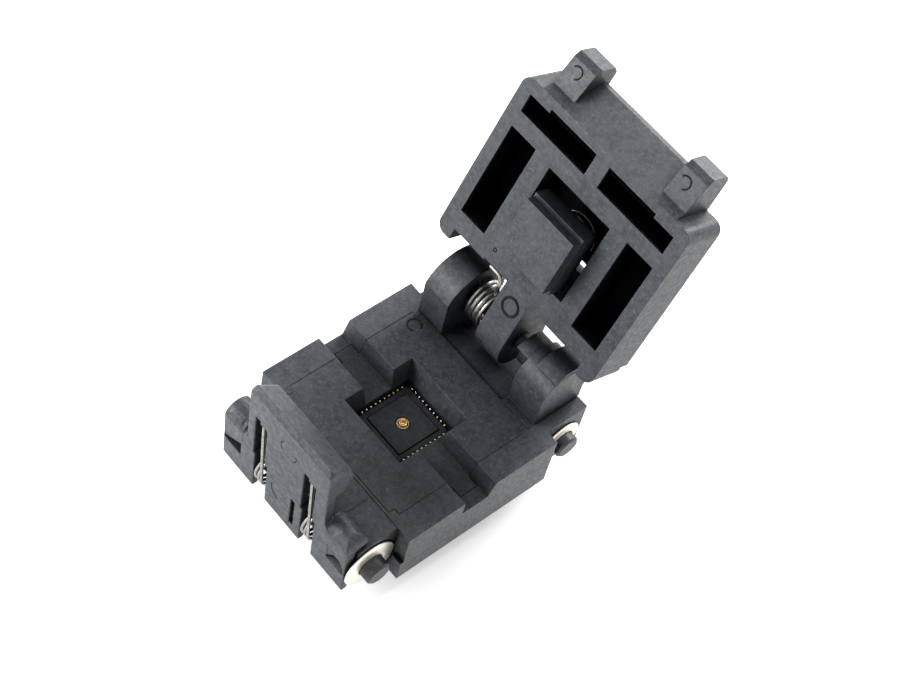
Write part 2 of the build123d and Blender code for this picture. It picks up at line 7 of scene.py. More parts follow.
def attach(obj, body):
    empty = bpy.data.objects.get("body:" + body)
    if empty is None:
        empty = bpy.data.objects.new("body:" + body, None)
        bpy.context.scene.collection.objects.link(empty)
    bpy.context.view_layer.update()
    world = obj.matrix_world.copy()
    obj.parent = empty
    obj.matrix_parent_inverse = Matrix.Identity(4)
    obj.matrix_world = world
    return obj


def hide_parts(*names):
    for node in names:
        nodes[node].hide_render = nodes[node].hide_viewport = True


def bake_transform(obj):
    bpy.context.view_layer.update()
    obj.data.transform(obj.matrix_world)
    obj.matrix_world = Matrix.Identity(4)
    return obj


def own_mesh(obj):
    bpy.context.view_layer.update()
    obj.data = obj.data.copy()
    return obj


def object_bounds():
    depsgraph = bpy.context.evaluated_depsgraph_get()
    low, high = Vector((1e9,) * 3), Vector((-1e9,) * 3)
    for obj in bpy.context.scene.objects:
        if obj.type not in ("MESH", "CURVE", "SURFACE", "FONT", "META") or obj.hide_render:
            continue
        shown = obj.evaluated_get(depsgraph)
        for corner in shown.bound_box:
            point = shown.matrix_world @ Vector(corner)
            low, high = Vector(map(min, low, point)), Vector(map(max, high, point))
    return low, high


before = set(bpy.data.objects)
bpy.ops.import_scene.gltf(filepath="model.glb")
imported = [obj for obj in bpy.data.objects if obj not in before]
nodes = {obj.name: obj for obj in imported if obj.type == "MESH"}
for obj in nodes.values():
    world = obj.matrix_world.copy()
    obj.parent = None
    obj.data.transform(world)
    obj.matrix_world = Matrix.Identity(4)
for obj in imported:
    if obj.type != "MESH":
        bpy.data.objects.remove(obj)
scene = bpy.context.scene
cad_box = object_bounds()
MM = 0.001

# places shared by several pieces, in millimetres
HINGE_Y = 11.30
HINGE_Z = 9.90
OPEN = math.radians(112.7)
REACH = 6.86
DROP = 2.80
LATCH_AXIS = (-10.50, 3.675)
REAR_AXIS = (10.90, 3.675)
EAR_AXIS = (10.90, 9.75)
DECK = 6.856


# helpers for node materials

def new_material(name):
    mat = bpy.data.materials.new(name)
    mat.use_nodes = True
    tree = mat.node_tree
    shader = tree.nodes["Principled BSDF"]
    return mat, tree, shader


def add(tree, kind, **values):
    node = tree.nodes.new(kind)
    for key, value in values.items():
        setattr(node, key, value)
    return node


def place_in_mm(tree, stretch=(1, 1, 1), turn=(0, 0, 0)):
    coords = add(tree, "ShaderNodeTexCoord")
    mapping = add(tree, "ShaderNodeMapping")
    mapping.inputs["Scale"].default_value = [1000 * s for s in stretch]
    mapping.inputs["Rotation"].default_value = turn
    tree.links.new(coords.outputs["Object"], mapping.inputs["Vector"])
    return mapping.outputs["Vector"]


def noise(tree, vector, scale, detail=3.0, rough=0.5):
    node = add(tree, "ShaderNodeTexNoise")
    node.inputs["Scale"].default_value = scale
    node.inputs["Detail"].default_value = detail
    node.inputs["Roughness"].default_value = rough
    tree.links.new(vector, node.inputs["Vector"])
    return node.outputs["Fac"]


def span(tree, value, low, high, to_low=0.0, to_high=1.0):
    node = add(tree, "ShaderNodeMapRange", clamp=True)
    node.inputs["From Min"].default_value = low
    node.inputs["From Max"].default_value = high
    node.inputs["To Min"].default_value = to_low
    node.inputs["To Max"].default_value = to_high
    tree.links.new(value, node.inputs["Value"])
    return node.outputs["Result"]


def mix(tree, fac, a, b, blend="MIX"):
    node = add(tree, "ShaderNodeMix", data_type="RGBA", blend_type=blend)
    for socket, value in ((node.inputs[0], fac), (node.inputs[6], a), (node.inputs[7], b)):
        if isinstance(value, (int, float)):
            socket.default_value = value
        elif isinstance(value, (tuple, list)):
            socket.default_value = (*value[:3], 1.0)
        else:
            tree.links.new(value, socket)
    return node.outputs[2]


def rounded_normal(tree, radius, height=None, strength=0.2, distance=0.02):
    bevel = add(tree, "ShaderNodeBevel", samples=6)
    bevel.inputs["Radius"].default_value = radius * MM
    if height is None:
        return bevel.outputs["Normal"]
    bump = add(tree, "ShaderNodeBump")
    bump.inputs["Strength"].default_value = strength
    bump.inputs["Distance"].default_value = distance * MM
    tree.links.new(height, bump.inputs["Height"])
    tree.links.new(bevel.outputs["Normal"], bump.inputs["Normal"])
    return bump.outputs["Normal"]


def edge_mask(tree, radius):
    """Painted edge highlight that also stands for rubbed wear: bright along the outer and inner edges of a piece."""
    bevel = add(tree, "ShaderNodeBevel", samples=6)
    bevel.inputs["Radius"].default_value = radius * MM
    geometry = add(tree, "ShaderNodeNewGeometry")
    dot = add(tree, "ShaderNodeVectorMath", operation="DOT_PRODUCT")
    tree.links.new(bevel.outputs["Normal"], dot.inputs[0])
    tree.links.new(geometry.outputs["Normal"], dot.inputs[1])
    return span(tree, dot.outputs["Value"], 0.97, 0.80)


def painted_pocket_shade(tree, reach, depth):
    """Painted shade mask from ambient occlusion: one on open faces, falling to nothing deep in a pocket or a narrow
    gap.
    """
    node = add(tree, "ShaderNodeAmbientOcclusion", samples=8)
    node.inputs["Distance"].default_value = reach * MM
    return span(tree, node.outputs["AO"], depth, 0.90)


def moulding(name, dark, light, fleck, fleck_amount, rough, bump=0.5, edge_wear_and_highlight=0.10, depth=0.25, gloss=0.45, corner=0.09):
    """Glass-filled moulding: cloudy tone, short pale fibres, fine grain, edges lightened as wear and as a painted
    highlight, and painted shade in the hollows.
    """
    mat, tree, shader = new_material(name)
    plain = place_in_mm(tree)
    cloud = span(tree, noise(tree, plain, 0.55, 5.0, 0.66), 0.40, 0.62)
    patch = span(tree, noise(tree, plain, 2.1, 5.0, 0.66), 0.42, 0.66)
    tone = mix(tree, cloud, dark, light)
    tone = mix(tree, patch, tone, tuple(c * 1.45 for c in light))
    fibres_a = noise(tree, place_in_mm(tree, (1.0, 3.4, 3.4), (0.2, 0.1, 0.7)), 2.6, 2.0, 0.55)
    fibres_b = noise(tree, place_in_mm(tree, (3.6, 1.0, 3.6), (0.1, 0.4, -0.5)), 2.4, 2.0, 0.55)
    both = add(tree, "ShaderNodeMath", operation="MAXIMUM")
    tree.links.new(span(tree, fibres_a, 0.61, 0.73), both.inputs[0])
    tree.links.new(span(tree, fibres_b, 0.62, 0.74), both.inputs[1])
    amount = add(tree, "ShaderNodeMath", operation="MULTIPLY")
    amount.inputs[1].default_value = fleck_amount
    tree.links.new(both.outputs[0], amount.inputs[0])
    tone = mix(tree, amount.outputs[0], tone, fleck)
    # painted edge highlight that also stands for rubbed wear: edges are lightened towards the fibre colour
    worn_and_lit_edge = add(tree, "ShaderNodeMath", operation="MULTIPLY")
    worn_and_lit_edge.inputs[1].default_value = edge_wear_and_highlight
    tree.links.new(edge_mask(tree, 0.10), worn_and_lit_edge.inputs[0])
    tone = mix(tree, worn_and_lit_edge.outputs[0], tone, fleck)
    # painted shade: ambient occlusion darkens the colour towards near-black and lowers the specular level in hollows
    # and narrow gaps
    pocket_shade_mask = painted_pocket_shade(tree, 5.0, depth)
    tree.links.new(mix(tree, pocket_shade_mask, tuple(c * 0.10 for c in dark), tone), shader.inputs["Base Color"])
    tree.links.new(span(tree, pocket_shade_mask, 0.0, 1.0, gloss * 0.15, gloss), shader.inputs["Specular IOR Level"])
    grain = noise(tree, plain, 9.0, 4.0, 0.6)
    tree.links.new(span(tree, patch, 0.0, 1.0, rough + 0.06, rough - 0.06), shader.inputs["Roughness"])
    tree.links.new(rounded_normal(tree, corner, grain, bump, 0.012), shader.inputs["Normal"])
    return mat


def metal(name, colour, rough, stain=None, streak=(1, 1, 1), bump=0.1, edge=0.04):
    mat, tree, shader = new_material(name)
    plain = place_in_mm(tree, streak)
    cloud = span(tree, noise(tree, plain, 2.4, 4.0, 0.6), 0.35, 0.68)
    tree.links.new(mix(tree, cloud, colour, stain or tuple(c * 0.8 for c in colour)), shader.inputs["Base Color"])
    tree.links.new(span(tree, cloud, 0.0, 1.0, rough, rough + 0.12), shader.inputs["Roughness"])
    grain = noise(tree, plain, 16.0, 2.0, 0.5)
    tree.links.new(rounded_normal(tree, edge, grain, bump, 0.006), shader.inputs["Normal"])
    shader.inputs["Metallic"].default_value = 1.0
    return mat


grey = dict(dark=(0.014, 0.0175, 0.022), light=(0.034, 0.040, 0.048), fleck=(0.20, 0.215, 0.23), fleck_amount=0.36,
            rough=0.46)
housing = moulding("housing_moulding", **grey)
seamless = moulding("deck_moulding", **grey, edge_wear_and_highlight=0.0, corner=0.002)
insert = moulding("insert_moulding", dark=(0.012, 0.0155, 0.019), light=(0.030, 0.036, 0.042), fleck=(0.19, 0.20, 0.21),
                  fleck_amount=0.40, rough=0.49)
island = moulding("rest_moulding", dark=(0.010, 0.012, 0.016), light=(0.020, 0.0225, 0.028), fleck=(0.08, 0.09, 0.10),
                  fleck_amount=0.20, rough=0.46, bump=0.3, gloss=0.42)
# painted shade: near-black tone for the tool-mark grooves and the latch ear scoops
painted_mark_shade = moulding("painted_groove_shade", dark=(0.004, 0.005, 0.006), light=(0.008, 0.009, 0.010), fleck=(0.03, 0.03, 0.03),
                       fleck_amount=0.1, rough=0.75, bump=0.2, edge_wear_and_highlight=0.0, gloss=0.2)
# painted shade: near-black tone for the sheets that line the lid's deep cells
shade = moulding("painted_cell_shade", dark=(0.002, 0.003, 0.004), light=(0.004, 0.005, 0.006), fleck=(0.015, 0.017, 0.018),
                 fleck_amount=0.15, rough=0.85, bump=0.2, edge_wear_and_highlight=0.0, gloss=0.12)
steel = metal("spring_wire", (0.46, 0.45, 0.42), 0.26, (0.28, 0.275, 0.255))
dull = metal("dull_wire", (0.20, 0.19, 0.18), 0.34, (0.10, 0.095, 0.09))
gold = metal("gold_plate", (0.92, 0.72, 0.38), 0.24, (0.76, 0.54, 0.24))
bright = metal("bright_washer", (0.90, 0.87, 0.78), 0.40, (0.72, 0.69, 0.60), (1, 3, 3))

# painted trench shade: the contacts are gold at their tips and painted near-black further down in the trench
tips, tree, shader = new_material("gold_tips_painted_trench_shade")
plain = place_in_mm(tree)
split = add(tree, "ShaderNodeSeparateXYZ")
tree.links.new(plain, split.inputs["Vector"])
# painted shade mask: near-black below z 4.30, gold above 4.52
height = span(tree, split.outputs["Z"], 4.30, 4.52)
cloud = span(tree, noise(tree, plain, 3.0, 3.0), 0.35, 0.68)
polish = mix(tree, cloud, (0.98, 0.90, 0.68), (0.90, 0.74, 0.44))
tree.links.new(mix(tree, height, (0.035, 0.030, 0.020), polish), shader.inputs["Base Color"])
tree.links.new(span(tree, cloud, 0.0, 1.0, 0.22, 0.36), shader.inputs["Roughness"])
tree.links.new(rounded_normal(tree, 0.06, noise(tree, plain, 16.0, 2.0), 0.1, 0.004), shader.inputs["Normal"])
shader.inputs["Metallic"].default_value = 1.0

dark_steel, tree, shader = new_material("blackened_pin")
plain = place_in_mm(tree)
cloud = span(tree, noise(tree, plain, 1.8, 4.0, 0.6), 0.35, 0.66)
tree.links.new(mix(tree, cloud, (0.026, 0.027, 0.030), (0.054, 0.056, 0.061)), shader.inputs["Base Color"])
tree.links.new(span(tree, cloud, 0.0, 1.0, 0.38, 0.54), shader.inputs["Roughness"])
tree.links.new(rounded_normal(tree, 0.15, noise(tree, plain, 11.0, 3.0), 0.3, 0.012), shader.inputs["Normal"])
shader.inputs["Metallic"].default_value = 0.3

looks = {
    housing: ("base_housing", "latch", "hinge_block", "lid", "pressure_pad"),
    insert: ("contact_nest", "contact_retainer"),
    island: ("package_rest", "centre_pin_sleeve"),
    tips: ("contacts_front", "contacts_rear", "contacts_left", "contacts_right"),
    gold: ("centre_pin_crown",),
    steel: ("centre_pin_spring", "latch_spring_left", "latch_spring_right", "lid_spring", "pad_spring"),
    bright: ("latch_pin_washer", "rear_pin_washer", "pad_ring"),
    dark_steel: ("latch_pin", "rear_pin", "hinge_pin"),
}
for mat, names in looks.items():
    for name in names:
        mesh = nodes[name].data
        if not mesh.materials:
            mesh.materials.append(mat)
        for i in range(len(mesh.materials)):
            mesh.materials[i] = mat


# round spring wires in place of the flat-sided ones; each follows its joint
LATCH_WIRE = 0.145
LATCH_COIL = (-10.95, 3.45)
LID_WIRE = 0.205
LID_COIL = 1.85
PAD_WIRE = 0.13
PAD_COIL = 2.05
PIN_WIRE = 0.05
PIN_COIL = 0.37

def soften(points, rounds=3):
    """Rounds the corners of a line of points and keeps its two ends."""
    for _ in range(rounds):
        out = [points[0]]
        for a, b in zip(points, points[1:]):
            out.append(a.lerp(b, 0.25))
            out.append(a.lerp(b, 0.75))
        out.append(points[-1])
        points = out
    return points


def coil(x0, pitch, turns, y, z, radius, start, steps=40):
    points = []
    for i in range(round(turns * steps) + 1):
        angle = math.radians(start + 360 * i / steps)
        points.append((x0 + pitch * i / steps, y + radius * math.cos(angle), z + radius * math.sin(angle)))
    return points


def tube(name, points, radius, mat, body, closed=False):
    """A round wire or a shallow round line along a path of points in millimetres."""
    curve = bpy.data.curves.new(name + "_path", "CURVE")
    curve.dimensions = "3D"
    curve.bevel_depth = radius * MM
    curve.bevel_resolution = 4
    curve.use_fill_caps = True
    spline = curve.splines.new("POLY")
    spline.points.add(len(points) - 1)
    spline.use_cyclic_u = closed
    for place, point in zip(spline.points, points):
        place.co = (*(Vector(point) * MM), 1.0)
    holder = bpy.data.objects.new(name + "_path", curve)
    bpy.context.scene.collection.objects.link(holder)
    depsgraph = bpy.context.evaluated_depsgraph_get()
    mesh = bpy.data.meshes.new_from_object(holder.evaluated_get(depsgraph))
    bpy.data.objects.remove(holder)
    mesh.name = name
    mesh.materials.clear()
    mesh.materials.append(mat)
    for face in mesh.polygons:
        face.use_smooth = True
    obj = bpy.data.objects.new(name, mesh)
    bpy.context.scene.collection.objects.link(obj)
    if body:
        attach(obj, body)
    return obj


def wire(name, points, radius, node, body, mat=steel):
    obj = tube(name, soften([Vector(p) for p in points], 2), radius, mat, body)
    if node:
        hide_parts(node)
    return obj


# latch springs: the arm goes with the latch, and the coil winds between latch and base
for side, centre in (("left", -3.37), ("right", 3.11)):
    x0 = centre + 0.57
    turned = coil(x0 - 0.24, -0.40, 2.25, *LATCH_COIL, 2.00, 180)
    arm = [(x0 - 0.78, -13.01, 11.40), (x0 - 0.38, -13.01, 6.05)]
    foot = (turned[-1][0], -7.90, 1.45)
    wire("latch_arm_" + side, arm + turned[:7], LATCH_WIRE, None, "latch_lever")
    piece = wire("latch_coil_" + side, turned[3:] + [foot], LATCH_WIRE, "latch_spring_" + side, None)
    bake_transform(piece)


def lid_point(x, s, n):
    """Place of a lid point while the lid is open: s along the lid, n into its depth."""
    along = s + REACH
    deep = n - DROP
    return (x, HINGE_Y - math.cos(OPEN) * along + math.sin(OPEN) * deep,
            HINGE_Z + math.sin(OPEN) * along + math.cos(OPEN) * deep)


# lid spring: one leg in the hinge block, the coil round the hinge axis, the other leg under the lid
leg_x, leg_y, leg_z = -4.10, 12.40, 4.95
away = math.hypot(leg_y - HINGE_Y, leg_z - HINGE_Z)
start = math.degrees(math.atan2(leg_z - HINGE_Z, leg_y - HINGE_Y) + math.acos(LID_COIL / away))
turned = coil(leg_x, 0.50, 50 / 12, HINGE_Y, HINGE_Z, LID_COIL, start)
end_x = turned[-1][0]
piece = wire("lid_coil", [(leg_x, leg_y, leg_z)] + turned, LID_WIRE, "lid_spring", None)
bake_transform(piece)
path = turned[-4:] + [lid_point(end_x, -3.40, 0.22), lid_point(end_x, -1.90, 0.22), lid_point(-3.60, -1.90, 0.22)]
wire("lid_arm", path, LID_WIRE, None, "cover")

# pad spring, a coil carried by the lid
pad_s, top_n, tall = 4.53, 0.82, 2.46
path = []
for i in range(3 * 40 + 1):
    angle = 2 * math.pi * i / 40
    path.append(lid_point(PAD_COIL * math.cos(angle), pad_s - PAD_COIL * math.sin(angle), top_n + tall * i / 120))
piece = wire("pad_wire", path, PAD_WIRE, "pad_spring", "cover", dull)
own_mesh(piece)

# centre pin spring, a coil under the crown, carried by the socket
low, tall = 1.28, 1.74
path = []
for i in range(4 * 24 + 1):
    angle = math.tau * i / 24
    path.append((PIN_COIL * math.cos(angle), PIN_COIL * math.sin(angle), low + tall * i / 96))
piece = wire("pin_wire", path, PIN_WIRE, "centre_pin_spring", "socket")
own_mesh(piece)


# shallow round marks left by the moulding tool, drawn as near-black lines whose colour is painted shade in the grooves

# a near-black line of painted groove shade along a circle, or along only the arc of it that is seen dark
def ring_mark(name, centre, u, v, radius, body, first=0, last=360, width=0.045):
    points = []
    closed = last - first == 360
    count = max(8, int((last - first) / 9))
    for i in range(count if closed else count + 1):
        t = math.radians(first + (last - first) * i / count)
        points.append(Vector(centre) + Vector(u) * radius * math.cos(t) + Vector(v) * radius * math.sin(t))
    return tube(name, points, width, painted_mark_shade, body, closed)


ring_mark("nest_mark", (-6.42, 6.10, 6.835), (1, 0, 0), (0, 1, 0), 0.64, "socket", 20, 320, 0.07)
lid_s = Vector(lid_point(0, 1, 0)) - Vector(lid_point(0, 0, 0))


def lug_face(s):
    """Depth of the sloping inner face of a finger lug at s."""
    return 1.1 + (s - 15.55) * 0.6 / 2.05


lug_slope = (Vector(lid_point(0, 16.5, lug_face(16.5))) - Vector(lid_point(0, 15.6, lug_face(15.6)))).normalized()
ring_mark("knuckle_mark", lid_point(0.06, -3.25, 0.02), (1, 0, 0), lid_s, 0.86, "cover", 0, 360, 0.13)
for label, x, s in (("left", -6.90, 16.70), ("right", 6.30, 16.55)):
    ring_mark("lug_mark_" + label, lid_point(x, s, lug_face(s) + 0.01), (1, 0, 0), lug_slope, 0.56, "cover", -70, 150, 0.07)
ring_mark("edge_mark", lid_point(-3.98, -0.29, 0.01), (1, 0, 0), lid_s, 0.17, "cover", 0, 360, 0.05)
lean = Vector((0, -0.037, 1)).normalized()
ring_mark("latch_mark_upper", (-0.10, -13.255, 12.50), (1, 0, 0), lean, 1.0, "latch_lever", 130, 215, 0.05)
ring_mark("latch_mark_upper_right", (-0.10, -13.255, 12.50), (1, 0, 0), lean, 1.0, "latch_lever", -45, 20, 0.05)
ring_mark("latch_mark_lower", (-0.40, -12.965, 4.55), (1, 0, 0), lean, 1.35, "latch_lever", 165, 250, 0.05)


# pieces built as meshes

def mesh_piece(name, points, faces, mat, body, finish, smooth=None):
    """A mesh in millimetres, with its normals made to point outwards."""
    mesh = bpy.data.meshes.new(name)
    mesh.from_pydata([Vector(p) * MM for p in points], [], faces)
    cleaner = bmesh.new()
    cleaner.from_mesh(mesh)
    bmesh.ops.remove_doubles(cleaner, verts=cleaner.verts, dist=0.000001)
    bmesh.ops.recalc_face_normals(cleaner, faces=cleaner.faces)
    cleaner.to_mesh(mesh)
    cleaner.free()
    mesh.materials.append(mat)
    obj = bpy.data.objects.new(name, mesh)
    scene.collection.objects.link(obj)
    if smooth is not None:
        mesh.shade_smooth()
        mesh.set_sharp_from_angle(angle=math.radians(smooth))
    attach(obj, body)
    return obj


def prism(profile, x0, x1):
    """Points and faces of a side profile drawn from x0 to x1."""
    n = len(profile)
    points = [(x0, y, z) for y, z in profile] + [(x1, y, z) for y, z in profile]
    faces = [tuple(range(n)), tuple(range(n, 2 * n))]
    faces += [(i, (i + 1) % n, n + (i + 1) % n, n + i) for i in range(n)]
    return points, faces


def lathe(profile, centre, axis="x", steps=64, wave=None):
    """Points and faces of a ring turned about a line through centre; profile gives (along, radius)."""
    points = []
    faces = []
    n = len(profile)
    for i in range(steps):
        t = 2 * math.pi * i / steps
        for along, radius in profile:
            if wave:
                along, radius = wave(t, along, radius)
            a, b = radius * math.cos(t), radius * math.sin(t)
            x, y, z = centre
            points.append((x + along, y + a, z + b) if axis == "x" else (x + a, y + b, z + along))
    for i in range(steps):
        j = (i + 1) % steps
        for k in range(n):
            m = (k + 1) % n
            faces.append((i * n + k, i * n + m, j * n + m, j * n + k))
    return points, faces


# push-on washers, flat at the rim and dished towards the pin
for label, node, face, axis, outer in (("front", "latch_pin_washer", 8.51, LATCH_AXIS, 2.60),
                                       ("rear", "rear_pin_washer", 8.81, REAR_AXIS, 2.10)):
    ring = [(0.0, outer - 0.08), (0.0, 1.21), (0.10, 1.21), (0.27, 1.27), (0.29, 1.38), (0.18, outer - 0.80),
            (0.17, outer - 0.06), (0.13, outer), (0.05, outer)]
    dish = mesh_piece("dished_washer_" + label, *lathe(ring, (face, *axis), steps=72), bright, "socket", "washer", 35)
    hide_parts(node)

# gold crown of the centre pin: a ring with four notches


def crown_wave(t, along, radius):
    if along > 4.60 and radius > 0.15:
        along -= 0.13 * max(0.0, math.cos(4 * t)) ** 3
    return along, radius


crown = [(3.10, 0.10), (3.10, 0.43), (3.30, 0.43), (3.30, 0.49), (3.66, 0.49), (3.66, 0.43), (4.52, 0.43), (4.66, 0.41),
         (4.74, 0.34), (4.74, 0.27), (4.64, 0.21), (4.34, 0.20), (4.30, 0.10)]
ring = mesh_piece("gold_crown", *lathe(crown, (0, 0, 0), "z", 48, crown_wave), gold, "crown", "contact_gold", 40)
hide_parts("centre_pin_crown")

# spring contacts: stamped strips with narrow rounded tips, ten in each row


def mitred(line, half):
    """Outline of a strip of even width along a line of points, with a rounded top end."""
    left = []
    right = []
    for i, (r, z) in enumerate(line):
        before = line[max(i - 1, 0)]
        after = line[min(i + 1, len(line) - 1)]
        a = Vector((r - before[0], z - before[1]))
        b = Vector((after[0] - r, after[1] - z))
        a = (a if a.length > 0 else b).normalized()
        b = (b if b.length > 0 else a).normalized()
        side = Vector((-(a.y + b.y), a.x + b.x)).normalized()
        reach = half / max(0.4, side.dot(Vector((-a.y, a.x))))
        left.append((r + side.x * reach, z + side.y * reach))
        right.append((r - side.x * reach, z - side.y * reach))
    r, z = line[0]
    top = [(r + half, z - 0.07), (r + half * 0.5, z), (r - half * 0.5, z), (r - half, z - 0.07)]
    if left[0][0] < r:
        top = top[::-1]
    return left[:0:-1][::-1] + right[:0:-1] + top[::-1]


for label, turn in (("front", -90), ("rear", 90), ("left", 180), ("right", 0)):
    c, s = math.cos(math.radians(turn)), math.sin(math.radians(turn))
    points = []
    faces = []
    for i in range(10):
        tail = 5.67 if i % 2 else 4.40
        line = [(2.90, 4.64), (2.90, 4.24), (3.14, 3.84), (2.90, 3.44), (2.90, 2.05), (tail, 2.05), (tail, -2.20)]
        outline = mitred(line, 0.085)
        n = len(outline)
        base = len(points)
        for y in ((i - 4.5) * 0.5 - 0.075, (i - 4.5) * 0.5 + 0.075):
            points += [(r * c - y * s, r * s + y * c, z) for r, z in outline]
        faces += [tuple(base + k for k in range(n)), tuple(base + n + k for k in range(n))]
        faces += [(base + k, base + (k + 1) % n, base + n + (k + 1) % n, base + n + k) for k in range(n)]
    row = mesh_piece("contact_row_" + label, points, faces, tips, "socket", "contact_gold")
    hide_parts("contacts_" + label)

# two square strips of the insert, inside and outside the contact tips
points = []
faces = []
for inner, outer in ((2.29, 2.80), (2.99, 3.30)):
    base = len(points)
    for half, z in ((inner, 3.40), (inner, 4.47), (outer, 4.47), (outer, 3.40)):
        points += [(-half, -half, z), (half, -half, z), (half, half, z), (-half, half, z)]
    for k in range(4):
        for i in range(4):
            j = (i + 1) % 4
            m = (k + 1) % 4
            faces.append((base + k * 4 + i, base + k * 4 + j, base + m * 4 + j, base + m * 4 + i))
mesh_piece("island_border", points, faces, island, "socket", "insert")

# bush round the centre pin, moulded outside and gold inside
bush = [(4.10, 0.665), (4.53, 0.665), (4.53, 0.56), (4.10, 0.56)]
mesh_piece("pin_bush", *lathe(bush, (0, 0, 0), "z", 48), island, "socket", "insert", 40)
bush = [(4.10, 0.555), (4.52, 0.555), (4.56, 0.53), (4.56, 0.49), (4.50, 0.465), (4.10, 0.465)]
mesh_piece("gold_bush", *lathe(bush, (0, 0, 0), "z", 48), gold, "socket", "contact_gold", 40)

# front deck that bridges the latch hub between the lugs
deck = [(-11.70, DECK), (-8.16, DECK), (-8.16, 6.84), (-8.28, 6.84), (-8.28, 6.02), (-10.45, 6.02), (-11.70, 6.35)]
mesh_piece("front_deck", *prism(deck, -4.88, 4.88), seamless, "socket", "housing")


def arc(centre, radius, degrees):
    """Points on a circle at the given angles."""
    return [(centre[0] + radius * math.cos(math.radians(a)), centre[1] + radius * math.sin(math.radians(a))) for a in degrees]


# taller back of the right hinge ear, which closes the gap under the lid
hood = arc((11.22, 9.98), 2.80, range(-50, 131, 15)) + arc(EAR_AXIS, 2.2, (130, 85, 40, -5, -45))
mesh_piece("ear_hood_right", *prism(hood, 5.00, 7.47), housing, "socket", "housing", 30)


# painted shade: near-black sheets lining the lid's four deep cells, standing for the shade deep in them


def lid_plate(points, faces, x0, x1, s0, s1, n0, n1):
    base = len(points)
    points += [lid_point(x, s, n) for x in (x0, x1) for s in (s0, s1) for n in (n0, n1)]
    faces += [tuple(base + i for i in face) for face in
              ((0, 1, 3, 2), (4, 5, 7, 6), (0, 1, 5, 4), (2, 3, 7, 6), (0, 2, 6, 4), (1, 3, 7, 5))]


def shade_lining(name, x0, x1, s0, s1, floor=3.395, rim=0.25, skin=0.03):
    points = []
    faces = []
    lid_plate(points, faces, x0, x1, s0, s1, floor - skin, floor)
    lid_plate(points, faces, x0, x0 + skin, s0, s1, rim, floor - skin)
    lid_plate(points, faces, x1 - skin, x1, s0, s1, rim, floor - skin)
    lid_plate(points, faces, x0 + skin, x1 - skin, s0, s0 + skin, rim, floor - skin)
    lid_plate(points, faces, x0 + skin, x1 - skin, s1 - skin, s1, rim, floor - skin)
    mesh_piece(name, points, faces, shade, "cover", "housing")


for label, side in (("left", -1), ("right", 1)):
    x0, x1 = sorted((side * 5.665, side * 8.715))
    shade_lining("cell_long_" + label, x0, x1, 0.005, 9.685)
    x0, x1 = sorted((side * 0.795, side * 8.705))
    shade_lining("cell_end_" + label, x0, x1, 11.295, 13.095)


# latch: the solid with a deeper nose, full domes and scooped ears, its edges softened as moulded

def loft(sections):
    """Points and faces of a solid through sections of equal length, given as (x, profile)."""
    n = len(sections[0][1])
    points = [(x, y, z) for x, profile in sections for y, z in profile]
    last = (len(sections) - 1) * n
    faces = [tuple(range(n)), tuple(range(last, last + n))]
    for k in range(len(sections) - 1):
        for i in range(n):
            j = (i + 1) % n
            faces.append((k * n + i, k * n + j, (k + 1) * n + j, (k + 1) * n + i))
    return points, faces


nose = []
for x, high, out in ((-5.33, 15.35, 0.30), (-5.20, 15.70, 0.08), (-4.95, 15.87, 0.0), (4.30, 15.88, 0.0), (4.70, 15.77, 0.0),
                     (4.95, 15.52, 0.06), (5.10, 15.12, 0.30)):
    nose.append((x, [(-12.98 + out * 0.3, high), (-10.62 - out, 13.80 - out), (-10.58 - out, 13.35 - out * 0.5),
                     (-10.95 - out, 12.55), (-12.35, 12.15)]))
edge = [(-13.12, 8.3), (-13.37, 15.10), (-12.98, 15.45), (-12.3, 15.0), (-12.3, 8.3)]
dome = arc((-11.79, 6.93), 1.33, range(180, -1, -15)) + arc(LATCH_AXIS, 3.14, (95, 110, 125, 138)) + [(-13.08, 5.75)]
flank = [(-12.80, 0.64), (-12.93, 3.2), (-13.09, 6.9), (-12.10, 6.9), (-12.07, 0.9)]
fill = [(-12.93, 2.8), (-12.93, 3.2), (-12.997, 5.0), (-12.3, 5.0), (-12.3, 2.8)]
web = [(-12.99, 4.8), (-13.08, 7.25), (-12.6, 7.8), (-12.2, 7.25), (-12.2, 4.8)]
joined = bmesh.new()
joined.from_mesh(nodes["latch"].data)
for points, faces in (loft(nose), prism(edge, -5.33, -5.0), prism(dome, -8.43, -5.9), prism(flank, -8.43, -8.1),
                      prism(fill, -8.40, -6.05), prism(fill, 5.70, 8.0), prism(web, -6.1, -5.2), prism(web, 4.95, 6.0),
                      prism(dome, 5.25, 6.4)):
    verts = [joined.verts.new(Vector(p) * MM) for p in points]
    made = [joined.faces.new([verts[i] for i in face]) for face in faces]
    bmesh.ops.recalc_face_normals(joined, faces=made)
mesh = bpy.data.meshes.new("latch_shell")
joined.to_mesh(mesh)
joined.free()
rough = bpy.data.objects.new("latch_rough", mesh)
scene.collection.objects.link(rough)
remesh = rough.modifiers.new("remesh", "REMESH")
remesh.mode = "VOXEL"
remesh.voxel_size = 0.065 * MM
relax = rough.modifiers.new("relax", "SMOOTH")
relax.factor = 0.5
relax.iterations = 3
mesh = bpy.data.meshes.new_from_object(rough.evaluated_get(bpy.context.evaluated_depsgraph_get()))
bpy.data.objects.remove(rough)


def scoop(x, z):
    """Depth of the hollow in the face of a latch ear."""
    if -8.40 < x < -6.05:
        low, knee, top = 3.42, 3.42 + (x + 8.40) * 0.68, 6.9
    elif 5.85 < x < 8.05:
        low, top = 3.35, 6.6
        knee = 3.35 + 1.3 * min(1.0, (x - 5.80) / 0.8, (8.10 - x) / 0.7)
    else:
        return 0.0
    if z <= low or z >= top:
        return 0.0
    if z > knee:
        return 0.14 * (top - z) / (top - knee)
    return 0.14 + 0.50 * (knee - z) / max(0.2, knee - low)


